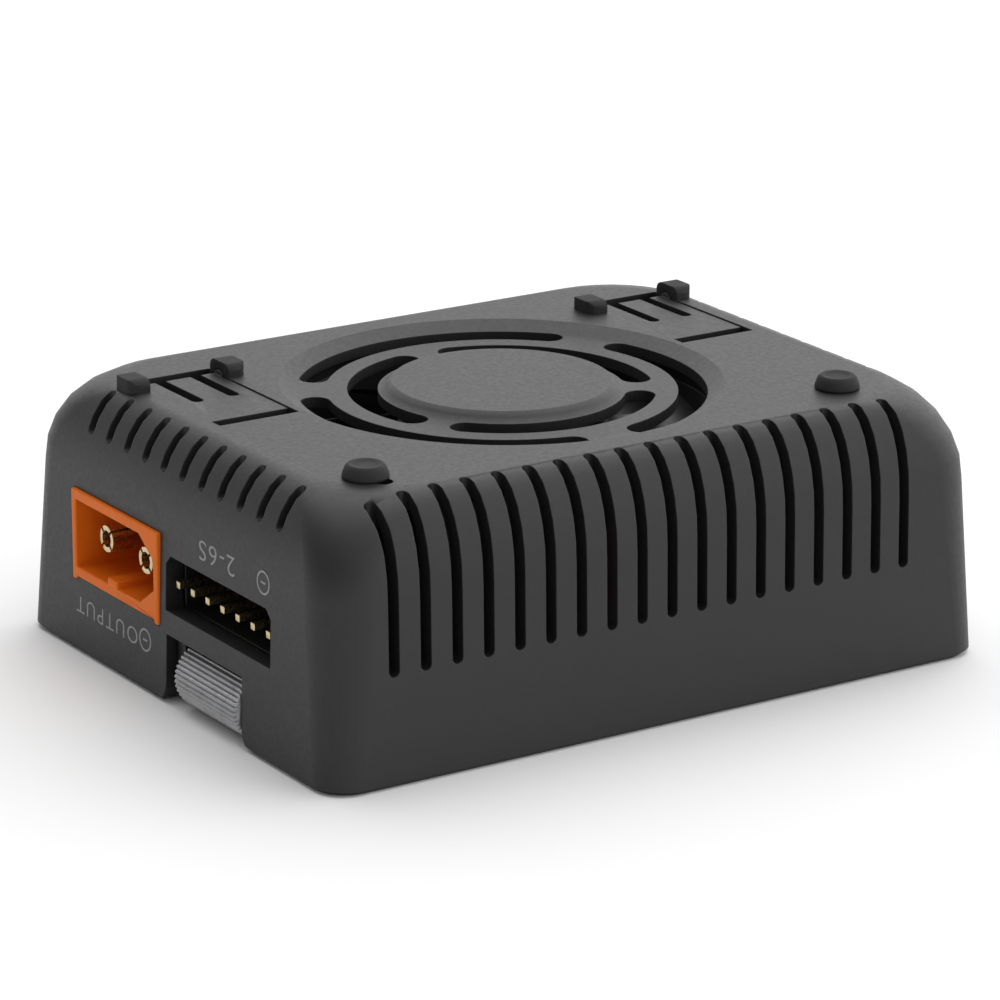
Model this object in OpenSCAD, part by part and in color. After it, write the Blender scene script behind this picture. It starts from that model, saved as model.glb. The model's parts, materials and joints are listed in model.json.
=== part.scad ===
// Balance battery charger for multi-cell packs, with a rear fan and two fold-out stand legs.
// It lies on its display face: the fan side is up and the output end is at -X.
// The modules work in corner coordinates: x from the output end, y from the near long side,
// z from the display face. part_frame() moves them to the centred frame.

/* [Housing] */
// Length of the housing
body_l = 67.5; // [66.5:0.5:70]
// Width of the housing
body_w = 53; // [53:0.5:56]
// Height from the display face to the fan side
body_h = 24; // [24:0.5:26]
// Thickness of the side walls and of the roof
wall = 1.7; // [1.5:0.1:1.8]
// Radius of the vertical corners at the display face
corner_low = 3; // [2.5:0.5:4]
// Height of the rounding round the fan side
round_h = 8; // [7:0.5:9]
// How far the rounding reaches in from the sides
round_w = 4.2; // [3.6:0.2:4.4]
// Draft of the side walls, degrees
draft = 1.5; // [0:0.5:2]

/* [Vents] */
// Number of vent slots on each long side
long_vents = 18; // [8:1:18]
// Number of vent slots on each short end
short_vents = 11; // [5:1:11]
// Width of a vent slot
vent_w = 1.05; // [0.6:0.05:1.2]

/* [Fan] */
// Side of the square fan frame
fan_size = 40; // [38:1:40]
// Thickness of the fan frame
fan_t = 5.8; // [5:0.2:6]
// Number of fan blades
blades = 9; // [5:1:11]

/* [Connectors] */
// Number of pins of the balance header
header_pins = 7; // [3:1:7]
// Pitch of the balance header
header_pitch = 2.5; // [2:0.1:2.5]
// Distance between the two power pins
power_pitch = 7; // [6:0.1:7.4]
// Diameter of a power pin
power_pin_d = 2.4; // [2:0.1:3]

/* [Scroll wheel] */
// Radius of the wheel over its ridges
wheel_r = 3; // [2.8:0.1:3]
// Length of the wheel
wheel_l = 10.2; // [8:0.1:10.2]
// Number of ridges round the wheel
wheel_ridges = 40; // [24:1:48]
// How far the wheel stands out of the end face
wheel_out = 0.45; // [0.3:0.05:0.6]

/* [Hidden] */
$fn = 48;

mid_x = body_l / 2;
mid_y = body_w / 2;
slope = tan(draft);
roof_in = body_h - 1.8;
edge_r = 0.5;
// the corners' radius grows towards the fan side
corner_mid = corner_low + 1.5;
corner_top = corner_low + 6;

// heights of the stack, from the display face up
window_z = [0.25, 1.0];
panel_z = [0.25, 2.2];
lcd_z = [2.3, 4.4];
lcd_x = [11.5, 58.2];
lcd_y = [7.5, 45.5];
board_z = [5.2, 6.8];
fan_top = 21;
fan_bottom = fan_top - fan_t;
grille_z = body_h - 0.8;

// screw posts in the four corners
post_x = [6.5, body_l - 6.5];
post_y = [6.5, body_w - 6.5];
post_r = 2.4;
screw_r = 1.2;

// vents
long_pitch = 3.07;
long_start = 6.2;
long_low = 9.6;
long_reach = 4.0;
far_vent_top = body_h - round_h;
roof_cut_z = 17.5;
short_pitch = 3.2;
short_start = 10;
short_low = 20.2;
short_reach = 3.2;

// fan grille
outer_slot = [15.5, 18.1];
inner_slot = [10.9, 13.6];
recess_r = [18.1, 19.6];
disc_r = [9.7, 10.7];

// power connectors: the rim's y and z span, the cavity's, and the pins' height
power_y = [28.5, 43.8];
power_z = [7.1, 15.1];
cavity_y = [29.3, 43.05];
cavity_z = [8.0, 14.2];
power_depth = 13.4;
cavity_depth = 9.5;
power_pin_y = 35.75;
power_pin_z = 11.45;
pin_recess = 1.0;

// balance header
header_y = [10, 27.5];
header_z = [8.5, 13.5];
header_depth = 10.6;
header_pin_z = 11;
header_pin_w = 0.64;
header_pin_tip = 0.75;

// service port on the input end
usb_y = 19;
usb_w = 9;
usb_z = [6.85, 10.15];

// the fan's three wires
wires_x = 25;
wire_pitch = 2;

// scroll wheel, its slot in the end face and its carrier
wheel_x = wheel_r - wheel_out;
wheel_z = 3.15;
wheel_y = 15;
slot_y = [14.55, 27.3];
slot_z = 6.4;
shaft_r = 0.6;
carrier_y = [13.3, 26.85];

// exit button
button_x = 4.3;
button_y = 36;
button_size = [3, 6.4];

// stand legs: centre lines, width, and the pocket's y span
leg_x = [9.7, 57.85];
leg_w = 7.6;
leg_y = 29.2;
pocket_y = [27.5, 43.05];
pocket_floor = 22.3;
leg_z = [22.6, 23.9];
leg_slot_x = [-1.6, 1.95];
leg_slot_y = 35.4;
leg_slot_r = 0.55;
hinge_y = 41.2;
hinge_z = 23.6;
hinge_r = 0.75;
knuckle_y = [39.5, 42.8];
knuckle_t = 1.9;
knuckle_gap = 0.12;
knuckle_h = 1.15;
knuckle_root = body_h - 1.3;
foot_h = 1.2;
foot_x = [8.7, 57.1];
foot_y = 8.7;
reset_hole = [9.3, 6.9];

module part_frame() translate([-(body_l - wheel_out) / 2, -mid_y, 0]) children();

// a block from its lowest to its highest corner
module block(low, high) translate(low) cube(high - low);

// a block with its four vertical edges rounded
module round_block(low, high, r) {
    size = high - low;
    translate([low[0], low[1], low[2]])
        linear_extrude(size[2])
            hull()
                for (x = [r, size[0] - r], y = [r, size[1] - r])
                    translate([x, y]) circle(r, $fn = 32);
}

// a cylinder between two heights
module post(x, y, low, high, r) translate([x, y, low]) cylinder(h = high - low, r = r);

// a tube between two heights, open at both ends
module tube(x, y, low, high, r_out, r_in) difference() {
    post(x, y, low, high, r_out);
    post(x, y, low - 1, high + 1, r_in);
}

// a cylinder along x, and one along y
module bar_x(x0, x1, y, z, r) translate([x0, y, z]) rotate([0, 90, 0]) cylinder(h = x1 - x0, r = r);
module bar_y(x, y0, y1, z, r) translate([x, y0, z]) rotate([-90, 0, 0]) cylinder(h = y1 - y0, r = r);

module mirror_end() translate([body_l, 0, 0]) mirror([1, 0, 0]) children();
module mirror_side() translate([0, body_w, 0]) mirror([0, 1, 0]) children();

// points along an arc, from one angle to another
function arc(cx, cy, r, from, to, steps) =
    [for (i = [0 : steps]) let (a = from + (to - from) * i / steps) [cx + r * cos(a), cy + r * sin(a)]];

// one level of the housing's form: a thin rounded rectangle set in from the widest outline
module level(inset, z, r) translate([0, 0, z]) linear_extrude(0.01)
    polygon(concat(
        arc(body_l - inset - r, body_w - inset - r, r, 0, 90, 8),
        arc(inset + r, body_w - inset - r, r, 90, 180, 8),
        arc(inset + r, inset + r, r, 180, 270, 8),
        arc(body_l - inset - r, inset + r, r, 270, 360, 8)));

// the closed outer or inner form: drafted sides, corners that widen upwards, an elliptical
// rounding below the fan side and a small edge at the display face
module form(skin, top, bottom_edge) hull() {
    high = round_h - skin;
    reach = round_w - skin;
    shoulder = top - high;
    level(skin + bottom_edge, 0, corner_low - skin);
    level(skin + bottom_edge * slope, bottom_edge, corner_low - skin);
    for (a = [0 : 15 : 90]) {
        part = 1 - cos(a);
        level(skin + slope * shoulder + reach * part, shoulder + high * sin(a) - 0.01,
            corner_mid - skin + (corner_top - corner_mid) * part);
    }
}

// outline of a slot with round ends, between two end centres on the second axis
function stadium(x, low, high, r) = concat(arc(x, high, r, 0, 180, 8), arc(x, low, r, 180, 360, 8));

// outline of an arc-shaped slot with round ends, centred on the fan's axis
function arc_outline(radii, start, sweep) =
    let (middle = (radii[0] + radii[1]) / 2, half = (radii[1] - radii[0]) / 2, end = start + sweep)
    concat(arc(0, 0, radii[1], start, end, 24),
        arc(middle * cos(end), middle * sin(end), half, end + 20, end + 160, 7),
        arc(0, 0, radii[0], end, start, 24),
        arc(middle * cos(start), middle * sin(start), half, start + 200, start + 340, 7));

module arc_slot(radii, start, sweep)
    translate([mid_x, mid_y, roof_in - 1]) linear_extrude(4) polygon(arc_outline(radii, start, sweep));

module grille_cut() {
    for (a = [0, 120, 240]) {
        arc_slot(outer_slot, a + 42, 96);
        arc_slot(inner_slot, a + 102, 96);
    }
    // shallow ring round the slots, with sloping rims
    translate([mid_x, mid_y, 0]) rotate_extrude($fn = 96)
        polygon([[disc_r[1], grille_z], [recess_r[0] + 0.1, grille_z], [recess_r[1], body_h],
            [recess_r[1], body_h + 1], [disc_r[0], body_h + 1], [disc_r[0], body_h]]);
}

// a vent slot in a long side: through the wall up to a height, and on over the rounding and through
// the roof where over_roof is true
module long_vent(x, top, over_roof) {
    r = vent_w / 2;
    translate([0, wall + 0.6, 0]) rotate([90, 0, 0]) linear_extrude(wall + 2)
        polygon(stadium(x, long_low + r, top, r));
    if (over_roof)
        translate([0, 0, roof_cut_z]) linear_extrude(body_h)
            polygon(stadium(x, -2, long_reach, r));
}

// the same in the output end, where the slots are short
module short_vent(y) {
    r = vent_w / 2;
    translate([-1, 0, 0]) rotate([90, 0, 90]) linear_extrude(short_reach + 1)
        polygon(stadium(y, short_low + r, body_h + 3, r));
    translate([0, 0, roof_in - 1.2]) rotate([0, 0, -90]) linear_extrude(body_h)
        polygon(stadium(-y, 1, short_reach, r));
}

module vents() {
    for (i = [0 : long_vents - 1]) {
        long_vent(long_start + i * long_pitch, body_h + 3, true);
        mirror_side() long_vent(long_start + i * long_pitch, far_vent_top, false);
    }
    for (i = [0 : short_vents - 1]) {
        short_vent(short_start + i * short_pitch);
        mirror_end() short_vent(short_start + i * short_pitch);
    }
}

// the window for a power connector, with the two notches at its lower corners
module power_window() {
    gap = 0.05;
    block([-1, power_y[0] - gap, power_z[0] - gap], [wall + 1, power_y[1] + gap, power_z[1] + gap]);
    for (y = [power_y[0] - gap, power_y[1] - 0.7])
        block([-1, y, board_z[1] - gap], [wall + 1, y + 0.7 + gap, power_z[0]]);
}

// the balance socket's window, with its upper corners cut off
module header_window() {
    cut = 0.8;
    translate([-1, 0, 0]) rotate([90, 0, 90]) linear_extrude(wall + 2)
        polygon([[header_y[0], header_z[0]], [header_y[1], header_z[0]],
            [header_y[1], header_z[1] - cut], [header_y[1] - cut, header_z[1]],
            [header_y[0] + cut, header_z[1]], [header_y[0], header_z[1] - cut]]);
}

// the wheel's slot, open to the display face, with its lower corners rounded off
module wheel_slot() {
    round_r = 2;
    translate([-1, 0, 0]) rotate([90, 0, 90]) linear_extrude(wall + 2)
        polygon(concat([[slot_y[1], slot_z], [slot_y[0], slot_z]],
            arc(slot_y[0] - round_r, round_r, round_r, 0, -90, 6),
            [[slot_y[0] - round_r, -1], [slot_y[1] + round_r, -1]],
            arc(slot_y[1] + round_r, round_r, round_r, -90, -180, 6)));
    // room for the wheel's crown behind the wall above the slot
    bar_y(wheel_x + 0.05, slot_y[0], slot_y[1] - 0.5, wheel_z, wheel_r + 0.15);
    // room behind the outer skin for the carrier's near ear
    block([0.85, carrier_y[0] - 0.2, -1], [wall + 1, slot_y[0] + 0.1, slot_z + 0.6]);
}

// a leg's pocket: its walls and floor hang under the roof
module pocket_walls(x) {
    block([x - leg_w / 2 - 1, pocket_y[0] - 0.8, pocket_floor - 1.2],
        [x + leg_w / 2 + 1, pocket_y[1] + 0.8, body_h - 0.6]);
}

module pocket_cut(x) {
    side = 0.12;
    block([x - leg_w / 2 - side, pocket_y[0], pocket_floor],
        [x + leg_w / 2 + side, pocket_y[1], body_h + 1]);
}

module housing_shell() part_frame() color([0.2, 0.2, 0.21]) difference() {
    union() {
        difference() {
            form(0, body_h, edge_r);
            intersection() {
                translate([0, 0, -0.5]) form(wall, roof_in + 1, 0.1);
                block([0, 0, -1], [body_l, body_w, roof_in]);
            }
        }
        for (x = post_x, y = post_y)
            post(x, y, board_z[1], roof_in + 0.5, post_r);
        for (x = leg_x)
            pocket_walls(x);
        // corner ribs that locate the fan under the roof
        for (x = [mid_x - fan_size / 2 - 1.1, mid_x + fan_size / 2 + 0.1], y = [11, 38])
            block([x, y, fan_top - 2], [x + 1, y + 4, roof_in + 0.5]);
    }
    grille_cut();
    vents();
    power_window();
    mirror_end() power_window();
    header_window();
    wheel_slot();
    for (x = leg_x)
        pocket_cut(x);
    for (x = post_x, y = post_y)
        post(x, y, 0, 17, screw_r + 0.05);
    // sockets for the knuckles' stems and for the legs' trunnions
    for (x = leg_x) {
        for (side = [-1, 1])
            knuckle_plan(x + side * (leg_w / 2 + knuckle_gap), side, knuckle_root, body_h + 1);
        bar_x(x - leg_w / 2 - 1.3, x + leg_w / 2 + 1.3, hinge_y, hinge_z, hinge_r + 0.08);
    }
    // holes for the rubber feet and the small reset hole
    for (x = foot_x)
        post(x, foot_y, body_h - 1.2, body_h + 1, 0.9);
    post(reset_hole[0], reset_hole[1], roof_in - 0.3, body_h + 1, 0.8);
    // opening for the service port
    mirror_end() block([-1, usb_y - usb_w / 2, usb_z[0]], [wall + 1, usb_y + usb_w / 2, usb_z[1]]);
}

module front_panel() part_frame() color([0.16, 0.16, 0.17]) {
    gap = wall + 0.15;
    panel_corner = corner_low - gap + 0.5;
    difference() {
        union() {
            round_block([gap, gap, panel_z[0]], [body_l - gap, body_w - gap, panel_z[1]],
                panel_corner);
            for (x = post_x, y = post_y)
                post(x, y, panel_z[1], board_z[0], post_r);
            // rails beside the wheel carrier
            block([2, carrier_y[0] - 0.8, panel_z[1]], [7.2, carrier_y[0] - 0.15, 5]);
            block([2, carrier_y[1] + 0.15, panel_z[1]], [7.2, carrier_y[1] + 0.8, 5]);
        }
        // pocket for the window, display opening, wheel slot and button hole
        round_block([gap + 0.6, gap + 0.6, -1], [body_l - gap - 0.6, body_w - gap - 0.6, window_z[1]],
            panel_corner - 0.6);
        block([lcd_x[0] + 1.5, lcd_y[0] + 1.5, -1], [lcd_x[1] - 1.5, lcd_y[1] - 1.5, panel_z[1] + 1]);
        block([0, carrier_y[0] - 0.1, -1], [6.4, carrier_y[1] + 0.1, panel_z[1] + 1]);
        block([button_x - button_size[0] / 2 - 0.1, button_y - button_size[1] / 2 - 0.1, -1],
            [button_x + button_size[0] / 2 + 0.1, button_y + button_size[1] / 2 + 0.1, panel_z[1] + 1]);
        for (x = post_x, y = post_y) {
            post(x, y, 0, board_z[0] + 1, screw_r + 0.2);
            post(x, y, 0, window_z[1] + 1, 2.1);
        }
    }
}

module display_window() part_frame() color([0.03, 0.03, 0.04]) {
    gap = wall + 0.85;
    difference() {
        round_block([gap, gap, window_z[0]], [body_l - gap, body_w - gap, window_z[1] - 0.05], 1);
        block([0, carrier_y[0] - 0.1, -1], [6.4, carrier_y[1] + 0.1, 2]);
        block([button_x - button_size[0] / 2 - 0.1, button_y - button_size[1] / 2 - 0.1, -1],
            [button_x + button_size[0] / 2 + 0.1, button_y + button_size[1] / 2 + 0.1, 2]);
    }
}

module display_module() part_frame() color([0.75, 0.77, 0.8]) {
    frame_w = 1.7;
    block([lcd_x[0], lcd_y[0], lcd_z[0]], [lcd_x[1], lcd_y[1], lcd_z[1]]);
    block([lcd_x[0] + frame_w, lcd_y[0] + frame_w, window_z[1] + 0.1],
        [lcd_x[1] - frame_w, lcd_y[1] - frame_w, lcd_z[0]]);
}

module display_flex() part_frame() color([0.75, 0.45, 0.12]) {
    block([lcd_x[1], 21, 3.1], [lcd_x[1] + 1.3, 32, 3.3]);
    block([lcd_x[1] + 1.1, 21, 3.3], [lcd_x[1] + 1.3, 32, 3.9]);
}

module display_socket() part_frame() color([0.9, 0.88, 0.8])
    block([lcd_x[1] + 0.2, 20, 3.9], [lcd_x[1] + 2.2, 33, board_z[0]]);

module exit_button() part_frame() color([0.25, 0.25, 0.26]) {
    half = button_size / 2;
    round_block([button_x - half[0], button_y - half[1], 0.1],
        [button_x + half[0], button_y + half[1], 2.5], 0.6);
    // flange behind the panel keeps the button in
    block([button_x - 2.1, button_y - half[1] - 0.7, 2.35],
        [button_x + 2.1, button_y + half[1] + 0.7, 2.95]);
}

module button_switch() part_frame() color([0.12, 0.12, 0.12]) {
    block([button_x - 1.8, button_y - 2, 3.9], [button_x + 1.8, button_y + 2, board_z[0]]);
    post(button_x, button_y, 3.35, 3.9, 0.9);
}

// outline of the wheel: shallow ridges all round
module wheel_outline() {
    depth = 0.22;
    steps = wheel_ridges * 4;
    polygon([for (i = [0 : steps - 1])
        let (r = wheel_r - depth * [0, 0.35, 1, 0.35][i % 4], a = 360 * i / steps)
        [r * cos(a), r * sin(a)]]);
}

module scroll_wheel() part_frame() color([0.7, 0.7, 0.71])
    translate([wheel_x, wheel_y + wheel_l, wheel_z]) rotate([90, 0, 0])
        difference() {
            linear_extrude(wheel_l) wheel_outline();
            translate([0, 0, -1]) cylinder(h = wheel_l + 2, r = shaft_r);
        }

module wheel_shaft() part_frame() color([0.8, 0.8, 0.8])
    bar_y(wheel_x, carrier_y[0] + 0.1, carrier_y[1] - 0.1, wheel_z, shaft_r);

module wheel_carrier() part_frame() color([0.08, 0.08, 0.08]) {
    back = [5.85, 6.9];
    difference() {
        union() {
            for (y = [[carrier_y[0], 14.5], [25.65, carrier_y[1]]])
                block([1.05, y[0], 1.75], [back[0], y[1], 6.3]);
            block([back[0], carrier_y[0], 2.45], [back[1], carrier_y[1], 6.3]);
        }
        bar_y(wheel_x, 10, 30, wheel_z, shaft_r + 0.06);
    }
}

module wheel_switch() part_frame() color([0.12, 0.12, 0.12]) {
    block([8.3, 18, 2.6], [11.3, 22.5, board_z[0]]);
    bar_x(7.4, 8.3, 20.2, 3.9, 0.9);
}

module main_board() part_frame() color([0.05, 0.28, 0.14]) difference() {
    round_block([2.6, 2.6, board_z[0]], [body_l - 2.6, body_w - 2.6, board_z[1]], 0.8);
    block([0, 12.2, 0], [7.8, 28.1, 10]);
    for (x = post_x, y = post_y)
        post(x, y, 0, 10, screw_r + 0.15);
}

// rim and body of a power connector at the output end, with a keyed cavity
module power_shell() {
    fin = 0.7;
    chamfer = [2.5, 1.75];
    difference() {
        union() {
            block([0.02, power_y[0], power_z[0]], [power_depth, power_y[1], power_z[1]]);
            for (y = [power_y[0], power_y[1] - fin])
                block([0.02, y, board_z[1]], [power_depth, y + fin, power_z[0]]);
        }
        difference() {
            translate([-1, 0, 0]) rotate([90, 0, 90]) linear_extrude(cavity_depth + 1)
                polygon([[cavity_y[1], cavity_z[0]], [cavity_y[1], cavity_z[1]],
                    [cavity_y[0] + chamfer[0], cavity_z[1]], [cavity_y[0], cavity_z[1] - chamfer[1]],
                    [cavity_y[0], cavity_z[0] + chamfer[1]], [cavity_y[0] + chamfer[0], cavity_z[0]]]);
            // key on the lower wall
            block([0.02, 35.7, 7], [cavity_depth, 37.4, cavity_z[0] + 0.6]);
        }
        for (side = [-1, 1])
            bar_x(-1, power_depth + 1, power_pin_y + side * power_pitch / 2, power_pin_z,
                power_pin_d / 2);
    }
}

// two hollow pins, split by a cross cut at the tip, each with a leg down to the board
module power_pin_pair() {
    tip = 2.4;
    for (side = [-1, 1]) {
        y = power_pin_y + side * power_pitch / 2;
        difference() {
            bar_x(pin_recess, power_depth + 1.4, y, power_pin_z, power_pin_d / 2);
            bar_x(0, 8, y, power_pin_z, power_pin_d / 2 - 0.45);
            for (turn = [45, 135])
                translate([pin_recess, y, power_pin_z]) rotate([turn, 0, 0])
                    translate([-1, -0.12, -2]) cube([tip + 1, 0.24, 4]);
        }
        block([power_depth + 0.2, y - 0.9, board_z[1]],
            [power_depth + 1.4, y + 0.9, power_pin_z - 0.6]);
    }
}

module output_connector() part_frame() color([0.85, 0.4, 0.13]) power_shell();
module output_pins() part_frame() color([0.85, 0.75, 0.5]) power_pin_pair();
module input_connector() part_frame() color([0.85, 0.4, 0.13]) mirror_end() power_shell();
module input_pins() part_frame() color([0.85, 0.75, 0.5]) mirror_end() power_pin_pair();

module balance_header() part_frame() color([0.06, 0.06, 0.06]) {
    side = 0.45;
    front = wall + 0.5;
    difference() {
        block([front, header_y[0] - side, header_z[0] - 1.3],
            [header_depth, header_y[1] + side, header_z[1] + 0.8]);
        block([0, header_y[0], header_z[0]], [8.4, header_y[1], header_z[1]]);
        for (i = [0 : header_pins - 1])
            header_pin_block(i, 0, header_depth + 1);
    }
}

function header_pin_y(i) = (header_y[0] + header_y[1]) / 2 + (i - (header_pins - 1) / 2) * header_pitch;

module header_pin_block(i, x0, x1) {
    half = header_pin_w / 2;
    y = header_pin_y(i);
    block([x0, y - half, header_pin_z - half], [x1, y + half, header_pin_z + half]);
}

module balance_pins() part_frame() color([0.85, 0.75, 0.45])
    for (i = [0 : header_pins - 1]) {
        half = header_pin_w / 2;
        tail = header_depth + 1.4;
        header_pin_block(i, header_pin_tip, tail);
        block([tail - header_pin_w, header_pin_y(i) - half, board_z[1]],
            [tail, header_pin_y(i) + half, header_pin_z]);
    }

module usb_shell() part_frame() color([0.8, 0.8, 0.82]) mirror_end() difference() {
    block([0.4, usb_y - usb_w / 2 + 0.05, usb_z[0]], [7.6, usb_y + usb_w / 2 - 0.05, usb_z[1] - 0.05]);
    block([-1, usb_y - usb_w / 2 + 0.4, usb_z[0] + 0.35],
        [7, usb_y + usb_w / 2 - 0.4, usb_z[1] - 0.4]);
}

module usb_tongue() part_frame() color([0.1, 0.1, 0.1]) mirror_end() {
    block([1.2, usb_y - 3.3, 8.15], [6.2, usb_y + 3.3, 8.85]);
    block([6.2, usb_y - 3.8, 7.3], [7, usb_y + 3.8, 9.7]);
}

module fan_frame() part_frame() color([0.05, 0.05, 0.05]) {
    low = [mid_x - fan_size / 2, mid_y - fan_size / 2, fan_bottom];
    high = [mid_x + fan_size / 2, mid_y + fan_size / 2, fan_top];
    difference() {
        round_block(low, high, 3);
        post(mid_x, mid_y, fan_bottom - 1, fan_top + 1, 18.8);
        for (dx = [-16, 16], dy = [-16, 16]) {
            post(mid_x + dx, mid_y + dy, fan_bottom - 1, fan_top + 1, 1.2);
            post(mid_x + dx, mid_y + dy, fan_top - 1.2, fan_top + 1, 2);
        }
    }
    // hub plate, its three spokes and the bearing's tube
    difference() {
        union() {
            post(mid_x, mid_y, fan_bottom, fan_bottom + 0.8, 9);
            for (a = [90, 210, 330])
                translate([mid_x, mid_y, fan_bottom]) rotate([0, 0, a])
                    translate([8.5, -1, 0]) cube([10.6, 2, 0.8]);
            post(mid_x, mid_y, fan_bottom, fan_bottom + 4, 2.3);
        }
        post(mid_x, mid_y, fan_bottom - 1, fan_top, 1.5);
    }
}

module fan_rotor() part_frame() color([0.07, 0.07, 0.07]) translate([mid_x, mid_y, 0]) {
    hub_z = [fan_bottom + 1.1, fan_top - 0.5];
    difference() {
        post(0, 0, hub_z[0], hub_z[1], 9.5);
        post(0, 0, hub_z[0] - 1, hub_z[1] - 0.7, 8.7);
        post(0, 0, 0, 30, 0.75);
    }
    tube(0, 0, hub_z[1] - 1.3, hub_z[1] - 0.7, 1.6, 0.75);
    for (i = [0 : blades - 1])
        rotate([0, 0, i * 360 / blades])
            translate([9.3, 0, (hub_z[0] + hub_z[1]) / 2])
                rotate([38, 0, 0]) translate([0, -2.7, -0.3]) cube([8.9, 5.4, 0.6]);
}

module fan_magnet() part_frame() color([0.2, 0.2, 0.22])
    tube(mid_x, mid_y, fan_bottom + 1.3, fan_top - 1.3, 8.7, 7.6);

module fan_shaft() part_frame() color([0.8, 0.8, 0.82])
    post(mid_x, mid_y, fan_bottom + 0.2, fan_top - 0.5, 0.75);

module fan_bearing() part_frame() color([0.7, 0.55, 0.25])
    tube(mid_x, mid_y, fan_bottom + 0.1, fan_bottom + 3.6, 1.5, 0.8);

module fan_coils() part_frame() color([0.7, 0.35, 0.15]) translate([mid_x, mid_y, 0]) {
    low = fan_bottom + 1.1;
    tube(0, 0, low, low + 2.4, 3.6, 2.3);
    for (a = [45 : 90 : 315])
        rotate([0, 0, a]) {
            translate([3.3, -1.2, low + 0.2]) cube([3.2, 2.4, 2]);
            translate([6.3, -2.2, low]) cube([0.8, 4.4, 2.4]);
        }
}

// foam ring between the fan and the roof, cut away round the legs' pockets
module fan_gasket() part_frame() color([0.03, 0.03, 0.03]) difference() {
    tube(mid_x, mid_y, fan_top, roof_in, 19.9, 18.9);
    for (x = leg_x)
        block([x - leg_w / 2 - 1.1, pocket_y[0] - 0.9, fan_top - 1],
            [x + leg_w / 2 + 1.1, pocket_y[1] + 0.9, body_h]);
}

module fan_standoffs() part_frame() color([0.75, 0.6, 0.3])
    for (dx = [-16, 16], dy = [-16, 16])
        tube(mid_x + dx, mid_y + dy, board_z[1], fan_bottom, 1.9, 1.0);

module fan_screws() part_frame() color([0.6, 0.6, 0.62])
    for (dx = [-16, 16], dy = [-16, 16])
        difference() {
            union() {
                post(mid_x + dx, mid_y + dy, 11, fan_top - 1.2, 0.98);
                post(mid_x + dx, mid_y + dy, fan_top - 1.2, fan_top - 0.1, 1.9);
            }
            cross_recess(mid_x + dx, mid_y + dy, fan_top - 0.7, fan_top);
        }

// a cross-shaped driver recess between two heights
module cross_recess(x, y, low, high) {
    block([x - 1.1, y - 0.25, low], [x + 1.1, y + 0.25, high]);
    block([x - 0.25, y - 1.1, low], [x + 0.25, y + 1.1, high]);
}

module fan_wires() part_frame() color([0.7, 0.1, 0.1])
    for (i = [0 : 2]) {
        x = wires_x + i * wire_pitch;
        block([x, 4.6, 10], [x + 0.9, 5.5, 17.4]);
        block([x, 5.5, 16.5], [x + 0.9, mid_y - fan_size / 2, 17.4]);
    }

module fan_plug() part_frame() color([0.9, 0.9, 0.86])
    block([wires_x - 1, 3.4, board_z[1]], [wires_x + 5.9, 6.2, 10]);

module heat_sink() part_frame() color([0.75, 0.76, 0.78]) {
    low = [22, 13, 9];
    block(low, [45.5, 40, 10.4]);
    for (i = [0 : 8])
        block([22 + i * 2.8, 13, 10.4], [23.1 + i * 2.8, 40, 14.6]);
}

module thermal_pad() part_frame() color([0.55, 0.6, 0.7])
    block([23, 14, 8.2], [44.5, 39, 9]);

module power_transistors() part_frame() color([0.1, 0.1, 0.1])
    for (x = [24, 34.5], y = [15.5, 27.5])
        block([x, y, board_z[1]], [x + 8.5, y + 10, 8.2]);

module power_inductor() part_frame() color([0.3, 0.3, 0.31]) {
    round_block([47, 14.6, board_z[1]], [58.6, 26.2, 13.8], 1.5);
    post(52.8, 20.4, 13.8, 14.2, 4.2);
}

module capacitors() part_frame() color([0.15, 0.15, 0.3])
    for (x = [26, 33.7, 41.4]) {
        post(x, body_w - 6.4, board_z[1], board_z[1] + 0.8, 3.3);
        post(x, body_w - 6.4, board_z[1] + 0.8, board_z[1] + 7.6, 3.1);
    }

module microcontroller() part_frame() color([0.08, 0.08, 0.08])
    block([13.6, 18, board_z[1]], [20.6, 25, board_z[1] + 1.2]);

module shunt_resistors() part_frame() color([0.2, 0.2, 0.2])
    for (y = [29.5, 33.2, 36.9])
        block([16.2, y, board_z[1]], [20.2, y + 2, board_z[1] + 0.9]);

module balance_resistors() part_frame() color([0.12, 0.12, 0.12])
    for (i = [0 : 5])
        block([34 + i * 2.6, 4.2, board_z[1]], [35.8 + i * 2.6, 7.6, board_z[1] + 0.8]);

module buzzer() part_frame() color([0.05, 0.05, 0.05])
    tube(54.6, 6.3, board_z[1], board_z[1] + 3.4, 3.1, 0.6);

module case_screws() part_frame() color([0.55, 0.55, 0.57])
    for (x = post_x, y = post_y)
        difference() {
            union() {
                post(x, y, 2, 14, screw_r);
                post(x, y, 1.05, 2, 2);
            }
            cross_recess(x, y, 0.5, 1.5);
        }

// push-in feet: a stem and a low tapered pad with a dished top
module rubber_feet() part_frame() color([0.1, 0.1, 0.1])
    for (x = foot_x)
        translate([x, foot_y, body_h]) rotate_extrude()
            polygon([[0, -1.1], [0.85, -1.1], [0.85, 0], [1.9, 0], [2, 0.15], [1.95, 0.4],
                [1.72, foot_h - 0.2], [1.5, foot_h], [1.25, foot_h], [1, foot_h - 0.12],
                [0, foot_h - 0.15]]);

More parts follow.
